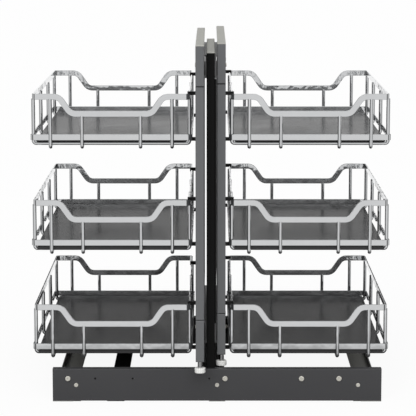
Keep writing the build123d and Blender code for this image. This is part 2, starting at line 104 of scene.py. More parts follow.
class Bench:
    """A node tree being wired up."""

    def __init__(self, tree: bpy.types.NodeTree) -> None:
        """Start with an empty tree.

        Args:
            tree: the material, world or group tree to fill.
        """
        self.tree = tree
        tree.nodes.clear()

    def node(self, kind: str, **values: object) -> bpy.types.Node:
        """Add a node and set its sockets.

        Args:
            kind: the node's type name.
            values: socket names, with spaces as underscores, and their values.

        Returns:
            The new node.
        """
        node = self.tree.nodes.new(kind)
        for name, value in values.items():
            node.inputs[name.replace("_", " ")].default_value = value
        return node

    def link(self, source: bpy.types.NodeSocket, target: bpy.types.NodeSocket) -> None:
        """Join two sockets."""
        self.tree.links.new(source, target)

    def blend(self, factor: bpy.types.NodeSocket, low: Colour, high: Colour) -> bpy.types.NodeSocket:
        """Add a ramp between two tones.

        Args:
            factor: the value that drives the ramp.
            low: the tone at zero.
            high: the tone at one.

        Returns:
            The ramp's colour.
        """
        ramp = self.node("ShaderNodeValToRGB")
        ramp.color_ramp.elements[0].color = (*low, 1)
        ramp.color_ramp.elements[1].color = (*high, 1)
        self.link(factor, ramp.inputs["Fac"])
        return ramp.outputs["Color"]

    def spread(self, factor: bpy.types.NodeSocket, low: float, high: float) -> bpy.types.NodeSocket:
        """Map a zero to one value onto a range.

        Args:
            factor: the value to map.
            low: the result at zero.
            high: the result at one.

        Returns:
            The mapped value.
        """
        node = self.node("ShaderNodeMapRange", To_Min=low, To_Max=high)
        self.link(factor, node.inputs["Value"])
        return node.outputs["Result"]

    def ease(self, value: bpy.types.NodeSocket, span: Span, ends: Span) -> bpy.types.NodeSocket:
        """Map a value smoothly from one level to another over a span.

        Args:
            value: the value to map.
            span: where the change starts and stops.
            ends: the results before and after it.

        Returns:
            The mapped value.
        """
        start, stop = span
        before, after = ends
        node = self.node("ShaderNodeMapRange", From_Min=start, From_Max=stop, To_Min=before, To_Max=after)
        node.interpolation_type = "SMOOTHSTEP"
        self.link(value, node.inputs["Value"])
        return node.outputs["Result"]

    def combine(self, operation: str, first: bpy.types.NodeSocket, second: Value) -> bpy.types.NodeSocket:
        """Combine two values.

        Args:
            operation: what to do with them, such as MULTIPLY.
            first: the first value.
            second: the second value, a socket or a constant.

        Returns:
            The result.
        """
        node = self.node("ShaderNodeMath")
        node.operation = operation
        self.link(first, node.inputs[0])
        if isinstance(second, float):
            node.inputs[1].default_value = second
        else:
            self.link(second, node.inputs[1])
        return node.outputs[0]

    def choose(self, factor: bpy.types.NodeSocket, low: Value, high: Value) -> bpy.types.NodeSocket:
        """Go from one value to another by a factor.

        Args:
            factor: the share of the second value.
            low: the value at zero.
            high: the value at one.

        Returns:
            The mixed value.
        """
        node = self.node("ShaderNodeMix")
        self.link(factor, node.inputs[0])
        for place, value in ((2, low), (3, high)):
            if isinstance(value, float):
                node.inputs[place].default_value = value
            else:
                self.link(value, node.inputs[place])
        return node.outputs[0]


@dataclass(frozen=True)
class Ring:
    """The white and dark paper round the object that bright metal mirrors.

    Depth goes from -1 in front to 1 behind, the side share from 0 in front and behind to 1
    straight to the sides, and rise is height over level distance.
    """

    depth_span: Span = (-0.3, 0.3)
    front_and_back: Span = (0.8, 1.0)
    rise_span: Span = (0.12, 0.19)
    low_and_high: Span = (1.0, 0.03)
    side_span: Span = (0.36, 0.72)
    axis_span: Span = (0.93, 0.985)
    dark_level: float = 0.12
    overhead_span: Span = (0.35, 1.4)


class Effects:
    """Shader groups that several finishes share, each built once."""

    @staticmethod
    def _group(
        name: str,
        inputs: tuple[str, ...],
        outputs: tuple[str, ...],
        kind: str = "NodeSocketFloat",
    ) -> tuple[Bench, bpy.types.Node, bpy.types.Node]:
        """Make an empty group whose outputs are floats.

        Args:
            name: the group's name.
            inputs: names of its inputs.
            outputs: names of its outputs.
            kind: the inputs' socket type.

        Returns:
            The bench of the group, its input node and its output node.
        """
        tree = bpy.data.node_groups.new(name, "ShaderNodeTree")
        for socket in inputs:
            tree.interface.new_socket(socket, in_out="INPUT", socket_type=kind)
        for socket in outputs:
            tree.interface.new_socket(socket, in_out="OUTPUT", socket_type="NodeSocketFloat")
        bench = Bench(tree)
        return bench, bench.node("NodeGroupInput"), bench.node("NodeGroupOutput")

    @classmethod
    def skin(cls) -> bpy.types.NodeTree:
        """Return the group for pebbled skin, slow mottling and handling smudges."""
        name = "skin"
        if name in bpy.data.node_groups:
            return bpy.data.node_groups[name]
        inputs = ("Grain Scale", "Mottle Scale", "Smudge Scale")
        outputs = ("Height", "Mottle", "Smudge")
        bench, entry, result = cls._group(name, inputs, outputs)
        place = bench.node("ShaderNodeTexCoord").outputs["Object"]
        noises = (
            bench.node("ShaderNodeTexNoise", Detail=3.0, Roughness=0.55),
            bench.node("ShaderNodeTexNoise", Detail=2.0, Roughness=0.5),
            bench.node("ShaderNodeTexNoise", Detail=5.0, Roughness=0.65, Distortion=0.8),
        )
        for noise, scale, height in zip(noises, inputs, outputs):
            bench.link(place, noise.inputs["Vector"])
            bench.link(entry.outputs[scale], noise.inputs["Scale"])
            bench.link(noise.outputs[0], result.inputs[height])
        return bench.tree

    @classmethod
    def drawn_lines(cls) -> bpy.types.NodeTree:
        """Return the group for fine lines drawn along one axis of a steel piece."""
        name = "drawn_lines"
        if name in bpy.data.node_groups:
            return bpy.data.node_groups[name]
        inputs = ("Across X", "Across Y", "Across Z")
        bench, entry, result = cls._group(name, inputs, ("Lines",))
        place = bench.node("ShaderNodeTexCoord").outputs["Object"]
        split = bench.node("ShaderNodeCombineXYZ")
        stretch = bench.node("ShaderNodeVectorMath")
        stretch.operation = "MULTIPLY"
        for source, target in zip(inputs, ("X", "Y", "Z")):
            bench.link(entry.outputs[source], split.inputs[target])
        bench.link(place, stretch.inputs[0])
        bench.link(split.outputs["Vector"], stretch.inputs[1])
        noise = bench.node("ShaderNodeTexNoise", Scale=1.0, Detail=2.0)
        bench.link(stretch.outputs["Vector"], noise.inputs["Vector"])
        bench.link(noise.outputs[0], result.inputs["Lines"])
        return bench.tree

    @classmethod
    def studio_ring(cls) -> bpy.types.NodeTree:
        """Return the group for what bright metal mirrors in each direction."""
        name = "studio_ring"
        if name in bpy.data.node_groups:
            return bpy.data.node_groups[name]
        bench, entry, result = cls._group(name, ("Way",), ("Strength",), "NodeSocketVector")
        way = bench.node("ShaderNodeSeparateXYZ")
        bench.link(entry.outputs["Way"], way.inputs[0])
        level = bench.node("ShaderNodeCombineXYZ")
        for axis in ("X", "Y"):
            bench.link(way.outputs[axis], level.inputs[axis])
        reach = bench.node("ShaderNodeVectorMath")
        reach.operation = "LENGTH"
        bench.link(level.outputs[0], reach.inputs[0])
        across, depth, rise = (
            bench.combine("DIVIDE", way.outputs[axis], reach.outputs["Value"]) for axis in "XYZ"
        )
        ring = Ring()
        paper = bench.ease(depth, ring.depth_span, ring.front_and_back)
        paper = bench.combine("MULTIPLY", paper, bench.ease(rise, ring.rise_span, ring.low_and_high))
        side_share = bench.combine("MULTIPLY", across, across)
        dark = bench.ease(side_share, ring.side_span, APPEAR)
        dark = bench.combine("MULTIPLY", dark, bench.ease(side_share, ring.axis_span, VANISH))
        walls = bench.choose(dark, paper, ring.dark_level)
        overhead = bench.ease(rise, ring.overhead_span, APPEAR)
        bench.link(bench.choose(overhead, walls, FULL), result.inputs["Strength"])
        return bench.tree


@dataclass(frozen=True)
class Finish:
    """What every finish has: a slot, two close tones and a satin range."""

    slot: Slot
    tone: Colour
    deep_tone: Colour
    smooth: float
    rough: float

    def start(self) -> tuple[bpy.types.Material, Bench, bpy.types.Node]:
        """Return the finish's new material, its bench and its surface shader."""
        material = bpy.data.materials.new(f"{self.slot.value}_finish")
        material.use_nodes = True
        bench = Bench(material.node_tree)
        shader = bench.node("ShaderNodeBsdfPrincipled")
        output = bench.node("ShaderNodeOutputMaterial")
        bench.link(shader.outputs["BSDF"], output.inputs["Surface"])
        return material, bench, shader

    def skin(self, bench: Bench, shader: bpy.types.Node, mottle: float) -> bpy.types.Node:
        """Dress a shader with mottled tones and smudged gloss.

        Args:
            bench: the material's bench.
            shader: its surface shader.
            mottle: size of the slow mottling.

        Returns:
            The skin group's node, whose Grain Scale and Height are still free.
        """
        group = bench.node("ShaderNodeGroup")
        group.node_tree = Effects.skin()
        group.inputs["Mottle Scale"].default_value = 1 / mottle
        group.inputs["Smudge Scale"].default_value = SMUDGES_PER_MOTTLE / mottle
        colour = bench.blend(group.outputs["Mottle"], self.deep_tone, self.tone)
        bench.link(colour, shader.inputs["Base Color"])
        roughness = bench.spread(group.outputs["Smudge"], self.smooth, self.rough)
        bench.link(roughness, shader.inputs["Roughness"])
        return group

    def bump(self, bench: Bench, shader: bpy.types.Node, height: bpy.types.NodeSocket, depth: float) -> None:
        """Raise a height on the surface.

        Args:
            bench: the material's bench.
            shader: its surface shader.
            height: the zero to one height.
            depth: how far one stands above zero.
        """
        node = bench.node("ShaderNodeBump", Strength=FULL, Distance=depth)
        bench.link(height, node.inputs["Height"])
        bench.link(node.outputs["Normal"], shader.inputs["Normal"])


@dataclass(frozen=True)
class PowderCoat(Finish):
    """Baked powder paint with a fine orange-peel skin."""

    grain: float = 0.0011
    mottle: float = 0.14
    depth: float = 0.00004
    gloss: float = 0.5

    def build(self) -> bpy.types.Material:
        """Return the material."""
        material, bench, shader = self.start()
        group = self.skin(bench, shader, self.mottle)
        group.inputs["Grain Scale"].default_value = 1 / self.grain
        self.bump(bench, shader, group.outputs["Height"], self.depth)
        shader.inputs["Specular IOR Level"].default_value = self.gloss
        return material


@dataclass(frozen=True)
class Moulded(PowderCoat):
    """Moulded plastic: the same skin, shallower, with a little light let in."""

    glow: float = 0.0
    glow_reach: float = 0.002

    def build(self) -> bpy.types.Material:
        """Return the material."""
        material = super().build()
        shader = next(n for n in material.node_tree.nodes if n.type == "BSDF_PRINCIPLED")
        shader.inputs["Subsurface Weight"].default_value = self.glow
        shader.inputs["Subsurface Radius"].default_value = (self.glow_reach,) * 3
        return material


@dataclass(frozen=True)
class Plated(Finish):
    """Bright plating on wire and bar, a little wavy."""

    mottle: float = 0.05
    metal: float = 1.0
    wave: float = 0.0007

    def build(self) -> bpy.types.Material:
        """Return the material."""
        material, bench, shader = self.start()
        group = self.skin(bench, shader, self.mottle)
        self.bump(bench, shader, group.outputs["Mottle"], self.wave)
        shader.inputs["Metallic"].default_value = self.metal
        return material


@dataclass(frozen=True)
class DrawnSteel(Finish):
    """Rolled or turned steel with fine lines along one axis."""

    pitches: tuple[float, float, float] = (0.0004, 0.05, 0.0004)
    mottle: float = 0.06
    depth: float = 0.000015

    def build(self) -> bpy.types.Material:
        """Return the material."""
        material, bench, shader = self.start()
        self.skin(bench, shader, self.mottle)
        lines = bench.node("ShaderNodeGroup")
        lines.node_tree = Effects.drawn_lines()
        for socket, pitch in zip(("Across X", "Across Y", "Across Z"), self.pitches):
            lines.inputs[socket].default_value = 1 / pitch
        self.bump(bench, shader, lines.outputs["Lines"], self.depth)
        shader.inputs["Metallic"].default_value = FULL
        return material


FINISHES: tuple[Finish, ...] = (
    PowderCoat(Slot.RAIL, (0.062, 0.062, 0.065), (0.054, 0.054, 0.057), 0.36, 0.5, gloss=0.4),
    # Partly painted light: the floor bars' grey paint is set several times lighter than the rail's, standing
    # in for light falling on them under the baskets.
    PowderCoat(Slot.BAR, (0.25, 0.25, 0.235), (0.23, 0.23, 0.215), 0.38, 0.52, gloss=0.4),
    PowderCoat(Slot.BLACK, (0.009, 0.009, 0.009), (0.007, 0.007, 0.007), 0.34, 0.5, gloss=0.1),
    PowderCoat(Slot.FRAME, (0.138, 0.141, 0.146), (0.122, 0.125, 0.13), 0.34, 0.46),
    # Partly painted light: the top caps' light grey stands in for overhead light on the tops of the frames
    # and the black tower, whose fronts stay darker.
    Moulded(
        Slot.COVER, (0.45, 0.45, 0.42), (0.42, 0.42, 0.39), 0.42, 0.55,
        grain=0.0009, depth=0.00002, gloss=0.25,
    ),
    Moulded(
        Slot.HOOK, (0.008, 0.008, 0.008), (0.006, 0.006, 0.006), 0.36, 0.5,
        grain=0.0009, depth=0.00002, gloss=0.2,
    ),
    Plated(Slot.CHROME, (0.8, 0.81, 0.82), (0.74, 0.75, 0.76), 0.03, 0.08, mottle=0.03),
    PowderCoat(
        Slot.TRAY, (0.034, 0.034, 0.035), (0.03, 0.03, 0.031), 0.19, 0.27, grain=0.0014, mottle=0.2, gloss=0.3
    ),
    Moulded(
        Slot.NYLON, (0.9, 0.9, 0.88), (0.86, 0.86, 0.84), 0.3, 0.42, grain=0.003, depth=0.00001, glow=0.15
    ),
    DrawnSteel(Slot.STEM, (0.62, 0.62, 0.62), (0.52, 0.52, 0.53), 0.18, 0.3, pitches=(0.05, 0.05, 0.0003)),
    DrawnSteel(
        Slot.SLIDE, (0.45, 0.45, 0.455), (0.38, 0.38, 0.385), 0.28, 0.42, pitches=(0.05, 0.05, 0.0005)
    ),
    Plated(
        Slot.BRIGHT, (0.78, 0.76, 0.69), (0.66, 0.64, 0.58), 0.2, 0.34,
        mottle=0.004, metal=0.35, wave=0.00005,
    ),
)


class Workshop:
    """Small steps that every modelled piece uses."""

    @staticmethod
    def clear() -> None:
        """Leave edit mode and deselect everything."""
        if bpy.context.object and bpy.context.object.mode != "OBJECT":
            bpy.ops.object.mode_set(mode="OBJECT")
        bpy.ops.object.select_all(action="DESELECT")

    @classmethod
    def join(cls, pieces: list[bpy.types.Object], name: str) -> bpy.types.Object:
        """Join pieces into one mesh.

        Args:
            pieces: the meshes to join.
            name: the name of the result.

        Returns:
            The joined object.
        """
        cls.clear()
        for piece in pieces:
            piece.select_set(True)
        bpy.context.view_layer.objects.active = pieces[0]
        bpy.ops.object.join()
        pieces[0].name = name
        pieces[0].data.name = name
        return pieces[0]

    @classmethod
    def block(cls, low: Vector, high: Vector, edge: float) -> bpy.types.Object:
        """Return a block with rounded edges and no face selected.

        Args:
            low: its lowest corner.
            high: its highest corner.
            edge: the radius of its edges.

        Returns:
            The block, with its place in its mesh.
        """
        cls.clear()
        bpy.ops.mesh.primitive_cube_add(size=1, location=(low + high) / 2)
        piece = bpy.context.object
        piece.scale = high - low
        bpy.ops.object.transform_apply(location=True, rotation=True, scale=True)
        bpy.ops.object.mode_set(mode="EDIT")
        bpy.ops.mesh.select_all(action="SELECT")
        bpy.ops.mesh.bevel(offset=edge, segments=2)
        bpy.ops.mesh.select_all(action="DESELECT")
        bpy.ops.object.mode_set(mode="OBJECT")
        return piece

    @classmethod
    def copy_to(cls, template: bpy.types.Object, name: str, shift: Vector) -> bpy.types.Object:
        """Copy a modelled piece, with its own mesh, to another place.

        Args:
            template: the piece to copy.
            name: the copy's name.
            shift: how far the copy's mesh is moved.

        Returns:
            The copy, whose object sits at the origin.
        """
        piece = template.copy()
        piece.data = template.data.copy()
        piece.name = name
        piece.data.name = name
        piece.data.transform(Matrix.Translation(shift))
        bpy.context.scene.collection.objects.link(piece)
        return piece


class BentStock:
    """Bar or wire of one section, formed by straight runs and bends in turn."""

    STEP = math.radians(11.25)
    LEAST_STEPS = 3
    SIDES = 14
    EDGE_STEPS = 3
    QUAD = 4
    MERGE_PARTS = 10

    def __init__(self, name: str, place: Vector, heading: Vector) -> None:
        """Note where the stock starts.

        Args:
            name: the piece's name.
            place: centre of the first section.
            heading: the way that the first run goes.
        """
        self.name = name
        self.start = place.copy()
        self.place = place.copy()
        self.heading = heading.copy()
        self.piece: bpy.types.Object | None = None

    def _turn(self, up: Vector) -> tuple[float, float, float]:
        """Return the rotation that faces a flat primitive along the heading."""
        side = up.cross(self.heading)
        return Matrix((side, up, self.heading)).transposed().to_euler()

    def _open(self) -> None:
        """Take the new primitive's place into its mesh and select it for bending."""
        self.piece = bpy.context.object
        self.piece.name = self.name
        bpy.ops.object.transform_apply(location=True, rotation=True, scale=True)
        bpy.ops.object.mode_set(mode="EDIT")
        bpy.ops.mesh.select_all(action="SELECT")

    def round_section(self, radius: float, up: Vector) -> "BentStock":
        """Start with a round section.

        Args:
            radius: the wire's radius.
            up: a direction square to the heading.

        Returns:
            The stock, to go on with.
        """
        Workshop.clear()
        bpy.ops.mesh.primitive_circle_add(
            vertices=self.SIDES, radius=radius, fill_type="NGON", location=self.place, rotation=self._turn(up)
        )
        self._open()
        return self

    def flat_section(self, thickness: float, height: float, edge: float, up: Vector) -> "BentStock":
        """Start with a flat-bar section whose edges are rounded.

        Args:
            thickness: the bar's thickness.
            height: its height along up.
            edge: the radius of its edges.
            up: a direction square to the heading.

        Returns:
            The stock, to go on with.
        """
        Workshop.clear()
        bpy.ops.mesh.primitive_plane_add(size=1, location=self.place, rotation=self._turn(up))
        bpy.context.object.scale = (thickness, height, 1)
        self._open()
        bpy.ops.mesh.bevel(affect="VERTICES", offset=edge, segments=self.EDGE_STEPS)
        bpy.ops.mesh.select_all(action="SELECT")
        return self

    def run(self, length: float) -> "BentStock":
        """Go straight on.

        Args:
            length: how far.

        Returns:
            The stock, to go on with.
        """
        step = self.heading * length
        bpy.ops.mesh.extrude_region_move(TRANSFORM_OT_translate={"value": tuple(step)})
        self.place += step
        return self

    def bend(self, angle: float, radius: float, axis: Vector) -> "BentStock":
        """Bend about an axis by the right-hand rule.

        Args:
            angle: how far to turn, above zero.
            radius: radius of the bend at the middle of the section.
            axis: the axis that the bend turns about.

        Returns:
            The stock, to go on with.
        """
        centre = self.place + axis.cross(self.heading) * radius
        steps = max(self.LEAST_STEPS, round(angle / self.STEP))
        bpy.ops.mesh.spin(
            steps=steps, angle=-angle, center=centre, axis=axis, dupli=False, use_auto_merge=False
        )
        turn = Quaternion(axis, angle)
        self.place = centre + turn @ (self.place - centre)
        self.heading = turn @ self.heading
        return self

    def close(self, reach: float) -> bpy.types.Object:
        """Weld the last section to the first, for a closed loop.

        Args:
            reach: how near to the start a face lies to be one of the two ends.

        Returns:
            The finished piece.
        """
        bpy.ops.mesh.select_all(action="DESELECT")
        bpy.ops.object.mode_set(mode="OBJECT")
        for face in self.piece.data.polygons:
            near = (face.center - self.start).length < reach
            face.select = near and len(face.vertices) > self.QUAD
        bpy.ops.object.mode_set(mode="EDIT")
        bpy.ops.mesh.delete(type="FACE")
        bpy.ops.mesh.select_all(action="SELECT")
        bpy.ops.mesh.remove_doubles(threshold=reach / self.MERGE_PARTS)
        return self.end()

    def end(self) -> bpy.types.Object:
        """Set the faces outwards and return the finished piece."""
        bpy.ops.mesh.select_all(action="SELECT")
        bpy.ops.mesh.normals_make_consistent(inside=False)
        bpy.ops.object.mode_set(mode="OBJECT")
        return self.piece


@dataclass
class WireBasket:
    """A welded basket: a dipped rim, a lower loop, cross wires and long wires."""

    width: float = 0.305
    depth: float = 0.550
    height: float = 0.1005
    wire_radius: float = 0.0037
    wire_bend: float = 0.005
    weld: float = 0.001
    bar_thickness: float = 0.003
    bar_height: float = 0.0115
    bar_edge: float = 0.0007
    corner: float = 0.009
    dip: float = 0.033
    dip_bend: float = 0.018
    high_share: float = 0.17
    low_share: float = 0.245
    low_loop_bottom: float = 0.010
    long_wire_shares: tuple[float, ...] = (-0.385, -0.185, 0.185, 0.385)
    cross_wire_shares: tuple[float, ...] = (-0.475, -0.165, 0.165, 0.475)
    bead_radius: float = 0.003
    bead_shares: tuple[float, float, float] = (1.25, 1.25, 0.8)
    bead_grain_parts: int = 12
    bead_seed: int = 5
    sharp_angle: float = 40.0

    @property
    def wire_x(self) -> float:
        """Distance from the middle to the upright ends of the cross wires."""
        return (self.width - self.bar_thickness) / 2

    @property
    def wire_y(self) -> float:
        """Distance from the middle to the upright ends of the long wires."""
        return (self.depth - self.bar_thickness) / 2

    @property
    def wire_top(self) -> float:
        """Height where the wires end in the rim."""
        return self.height - self.bar_height + self.weld

    @property
    def long_wire_z(self) -> float:
        """Height of the long wires' middle, under the cross wires."""
        return self.weld - self.wire_radius

    def _is_dipped(self, x: float) -> bool:
        """Say whether a long wire ends in the dipped stretch of rim."""
        return abs(x) < self.width * (0.5 - (self.high_share + self.low_share) / 2)

    def _rim_end(self, stock: BentStock) -> None:
        """Form the front or back of the rim, with its dip.

        Args:
            stock: the rim, at the end of a corner.
        """
        slope_x = (self.low_share - self.high_share) * self.width
        angle = math.atan2(self.dip, slope_x)
        tangent = self.dip_bend * math.tan(angle / 2)
        high = self.high_share * self.width - self.corner - tangent
        slant = math.hypot(self.dip, slope_x) - 2 * tangent
        low = (1 - 2 * self.low_share) * self.width - 2 * tangent
        down = stock.heading.cross(-Z_AXIS)
        stock.run(high).bend(angle, self.dip_bend, down)
        stock.run(slant).bend(angle, self.dip_bend, -down)
        stock.run(low).bend(angle, self.dip_bend, -down)
        stock.run(slant).bend(angle, self.dip_bend, down).run(high)

    def rim(self) -> bpy.types.Object:
        """Return the top loop of flat bar."""
        place = Vector((self.wire_x, 0, self.height - self.bar_height / 2))
        stock = BentStock("rim", place, Y_AXIS)
        stock.flat_section(self.bar_thickness, self.bar_height, self.bar_edge, Z_AXIS)
        half_side = self.depth / 2 - self.corner
        radius = self.corner - self.bar_thickness / 2
        for _ in range(2):
            stock.run(half_side).bend(QUARTER_TURN, radius, Z_AXIS)
            self._rim_end(stock)
            stock.bend(QUARTER_TURN, radius, Z_AXIS).run(half_side)
        return stock.close(self.bar_thickness / 2)

    def low_loop(self) -> bpy.types.Object:
        """Return the plain loop of flat bar near the bottom."""
        half_width = self.wire_x + self.wire_radius - self.weld + self.bar_thickness
        half_depth = self.wire_y - self.wire_radius + self.weld
        place = Vector((half_width - self.bar_thickness / 2, 0, self.low_loop_bottom + self.bar_height / 2))
        stock = BentStock("low_loop", place, Y_AXIS)
        stock.flat_section(self.bar_thickness, self.bar_height, self.bar_edge, Z_AXIS)
        radius = self.corner - self.bar_thickness / 2
        for _ in range(2):
            stock.run(half_depth - self.corner).bend(QUARTER_TURN, radius, Z_AXIS)
            stock.run(2 * (half_width - self.corner)).bend(QUARTER_TURN, radius, Z_AXIS)
            stock.run(half_depth - self.corner)
        return stock.close(self.bar_thickness / 2)

    def _u_wire(self, name: str, start: Vector, inward: Vector, low: float, span: float) -> bpy.types.Object:
        """Return a wire that goes down, across and up again.

        Args:
            name: the wire's name.
            start: its first end, in the rim.
            inward: the way across.
            low: height of its bottom run.
            span: distance between its two upright ends.

        Returns:
            The wire.
        """
        drop = start.z - low - self.wire_bend
        axis = (-Z_AXIS).cross(inward)
        stock = BentStock(name, start, -Z_AXIS).round_section(self.wire_radius, inward)
        stock.run(drop).bend(QUARTER_TURN, self.wire_bend, axis).run(span - 2 * self.wire_bend)
        return stock.bend(QUARTER_TURN, self.wire_bend, axis).run(drop).end()

    def wires(self) -> list[bpy.types.Object]:
        """Return the cross wires and the long wires."""
        pieces = []
        for share in self.cross_wire_shares:
            start = Vector((-self.wire_x, share * self.depth, self.wire_top))
            pieces.append(self._u_wire("cross_wire", start, X_AXIS, self.wire_radius, 2 * self.wire_x))
        for share in self.long_wire_shares:
            x = share * self.width
            top = self.wire_top - self.dip if self._is_dipped(x) else self.wire_top
            start = Vector((x, -self.wire_y, top))
            pieces.append(self._u_wire("long_wire", start, Y_AXIS, self.long_wire_z, 2 * self.wire_y))
        return pieces

    def _bead_places(self) -> list[Vector]:
        """Return where wires are welded to the rim, the lower loop and each other."""
        places = []
        loop_z = self.low_loop_bottom + self.bar_height / 2
        under_rim = self.wire_top - self.weld
        for share in self.cross_wire_shares:
            for x in (-self.wire_x, self.wire_x):
                places.append(Vector((x, share * self.depth, under_rim)))
                places.append(Vector((x * (1 + self.weld / self.width), share * self.depth, loop_z)))
        for share in self.long_wire_shares:
            x = share * self.width
            top = under_rim - self.dip if self._is_dipped(x) else under_rim
            for y in (-self.wire_y, self.wire_y):
                places.append(Vector((x, y, top)))
                places.append(Vector((x, y * (1 - self.weld / self.depth), loop_z)))
            for cross in self.cross_wire_shares:
                places.append(Vector((x, cross * self.depth, self.weld / 2)))
        return places

    def beads(self) -> list[bpy.types.Object]:
        """Return the weld nuggets where the wires meet."""
        Workshop.clear()
        bpy.ops.mesh.primitive_ico_sphere_add(subdivisions=2, radius=self.bead_radius)
        nugget = bpy.context.object
        nugget.scale = self.bead_shares
        bpy.ops.object.transform_apply(location=True, rotation=True, scale=True)
        bpy.ops.object.mode_set(mode="EDIT")
        bpy.ops.mesh.select_all(action="SELECT")
        grain = self.bead_radius / self.bead_grain_parts
        bpy.ops.transform.vertex_random(offset=grain, seed=self.bead_seed)
        bpy.ops.object.mode_set(mode="OBJECT")
        beads = [Workshop.copy_to(nugget, "bead", place) for place in self._bead_places()]
        bpy.data.objects.remove(nugget)
        return beads

    def build(self) -> bpy.types.Object:
        """Return one basket about its own middle."""
        pieces = [self.rim(), self.low_loop(), *self.wires(), *self.beads()]
        basket = Workshop.join(pieces, "basket_template")
        bpy.ops.object.shade_smooth_by_angle(angle=math.radians(self.sharp_angle))
        bpy.ops.object.modifier_add(type="WEIGHTED_NORMAL")
        flat = basket.modifiers[-1]
        flat.keep_sharp = True
        bpy.ops.object.modifier_apply(modifier=flat.name)
        return basket

    def place_all(self, chrome: bpy.types.Material) -> None:
        """Model one basket and set a copy of it at each basket's node.

        Args:
            chrome: the baskets' finish.
        """
        template = self.build()
        template.data.materials.clear()
        template.data.materials.append(chrome)
        for side in Side:
            for tier in Tier:
                node = f"{side.value}_{tier.value}_basket"
                low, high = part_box(node)
                middle = (low + high) / 2
                shift = Vector((middle.x, middle.y, low.z - self.long_wire_z + self.wire_radius))
                piece = Workshop.copy_to(template, f"{side.value}_{tier.value}_wires", shift)
                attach(piece, f"{side.value}_frame")
                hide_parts(node)
                log.info("basket %s", piece.name)
        bpy.data.objects.remove(template)


@dataclass
class HoleShadeDiscs:
    """Black discs with dished heads in the screw holes that a rail keeps for a cabinet of the other hand, as
    painted shade for the dark inside of the holes.
    """

    places_x: tuple[float, ...] = (-0.0155, -0.1655, -0.239)
    place_z: float = 0.046
    radius: float = 0.002
    sides: int = 24
    length: float = 0.0014
    recess: float = 0.0003
    rim: float = 0.0005
    dish: float = 0.0004

    def _shade_disc(self, place: Vector, outward: Vector) -> bpy.types.Object:
        """Return one black disc of painted hole shade, with a dished head.

        Args:
            place: the middle of its head.
            outward: the way that the head faces.

        Returns:
            The plug.
        """
        Workshop.clear()
        middle = place - outward * self.length / 2
        turn = outward.to_track_quat("Z", "Y").to_euler()
        bpy.ops.mesh.primitive_cylinder_add(
            vertices=self.sides, radius=self.radius, depth=self.length, location=middle, rotation=turn
        )
        shade_disc = bpy.context.object
        bpy.ops.object.transform_apply(location=True, rotation=True, scale=True)
        bpy.ops.object.mode_set(mode="EDIT")
        bpy.ops.mesh.select_all(action="DESELECT")
        bpy.ops.object.mode_set(mode="OBJECT")
        for face in shade_disc.data.polygons:
            face.select = face.normal.dot(outward) > FACING
        bpy.ops.object.mode_set(mode="EDIT")
        bpy.ops.mesh.inset(thickness=self.rim, depth=0)
        bpy.ops.mesh.inset(thickness=self.rim, depth=-self.dish)
        bpy.ops.object.mode_set(mode="OBJECT")
        return shade_disc

    def place_all(self, finish: bpy.types.Material) -> None:
        """Set the discs of painted hole shade in both rails.

        Args:
            finish: the discs' black finish.
        """
        shade_discs = []
        for node, outward in (("front_rail", -Y_AXIS), ("rear_rail", Y_AXIS)):
            low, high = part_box(node)
            face = low.y if outward.y < 0 else high.y
            for x in self.places_x:
                head = Vector((x, face, self.place_z)) - outward * self.recess
                shade_discs.append(self._shade_disc(head, outward))
        # One piece of black discs that paint the shade inside the rail holes.
        piece = Workshop.join(shade_discs, "rail_plugs")
        piece.data.materials.append(finish)
        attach(piece, "base")
        log.info("plugs %s", piece.name)


@dataclass
class SlideBumpers:
    """Black bumpers that close the front ends of the draw slides' moving members."""

    member_height: float = 0.0388
    length: float = 0.008
    wall: float = 0.0012
    play: float = 0.0003
    edge: float = 0.0012
    hollow_rim: float = 0.0024
    hollow_depth: float = 0.0012

    def _bumper(self, low: Vector, high: Vector) -> bpy.types.Object:
        """Return a block with rounded edges and a hollow in its front.

        Args:
            low: its lowest corner.
            high: its highest corner.

        Returns:
            The bumper.
        """
        bumper = Workshop.block(low, high, self.edge)
        for face in bumper.data.polygons:
            face.select = face.normal.y < -FACING
        bpy.ops.object.mode_set(mode="EDIT")
        bpy.ops.mesh.inset(thickness=self.hollow_rim, depth=-self.hollow_depth)
        bpy.ops.object.mode_set(mode="OBJECT")
        return bumper

    def place_all(self, finish: bpy.types.Material) -> None:
        """Set a bumper in the upper and the lower slide of each side.

        Args:
            finish: the bumpers' finish.
        """
        inset = self.wall + self.play
        for side in Side:
            low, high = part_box(f"{side.value}_slides_moving")
            inner, outer = low.x + self.play, high.x - inset
            if side is Side.LEFT:
                inner, outer = low.x + inset, high.x - self.play
            bumpers = []
            for bottom, top in ((low.z, low.z + self.member_height), (high.z - self.member_height, high.z)):
                near = Vector((inner, low.y, bottom + inset))
                far = Vector((outer, low.y + self.length, top - inset))
                bumpers.append(self._bumper(near, far))
            piece = Workshop.join(bumpers, f"{side.value}_slide_bumpers")
            piece.data.materials.append(finish)
            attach(piece, f"{side.value}_frame")
            log.info("bumpers %s", piece.name)


@dataclass
class TrayLips:
    """Lips that turn down at both ends of the tray boards whose edge shows dark in the photograph."""

    tiers: tuple[Tier, ...] = (Tier.LOWER, Tier.MIDDLE)
    drop: float = 0.006
    thickness: float = 0.0017
    edge: float = 0.0004

    def place_all(self, finish: bpy.types.Material) -> None:
        """Set a lip under both ends of each such board.

        Args:
            finish: the boards' finish.
        """
        for side in Side:
            lips = []
            for tier in self.tiers:
                low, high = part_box(f"{side.value}_{tier.value}_tray")
                for front in (low.y, high.y - self.thickness):
                    near = Vector((low.x, front, low.z - self.drop))
                    far = Vector((high.x, front + self.thickness, low.z))
                    lips.append(Workshop.block(near, far, self.edge))
            piece = Workshop.join(lips, f"{side.value}_tray_lips")
            piece.data.materials.append(finish)
            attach(piece, f"{side.value}_frame")
            log.info("lips %s", piece.name)


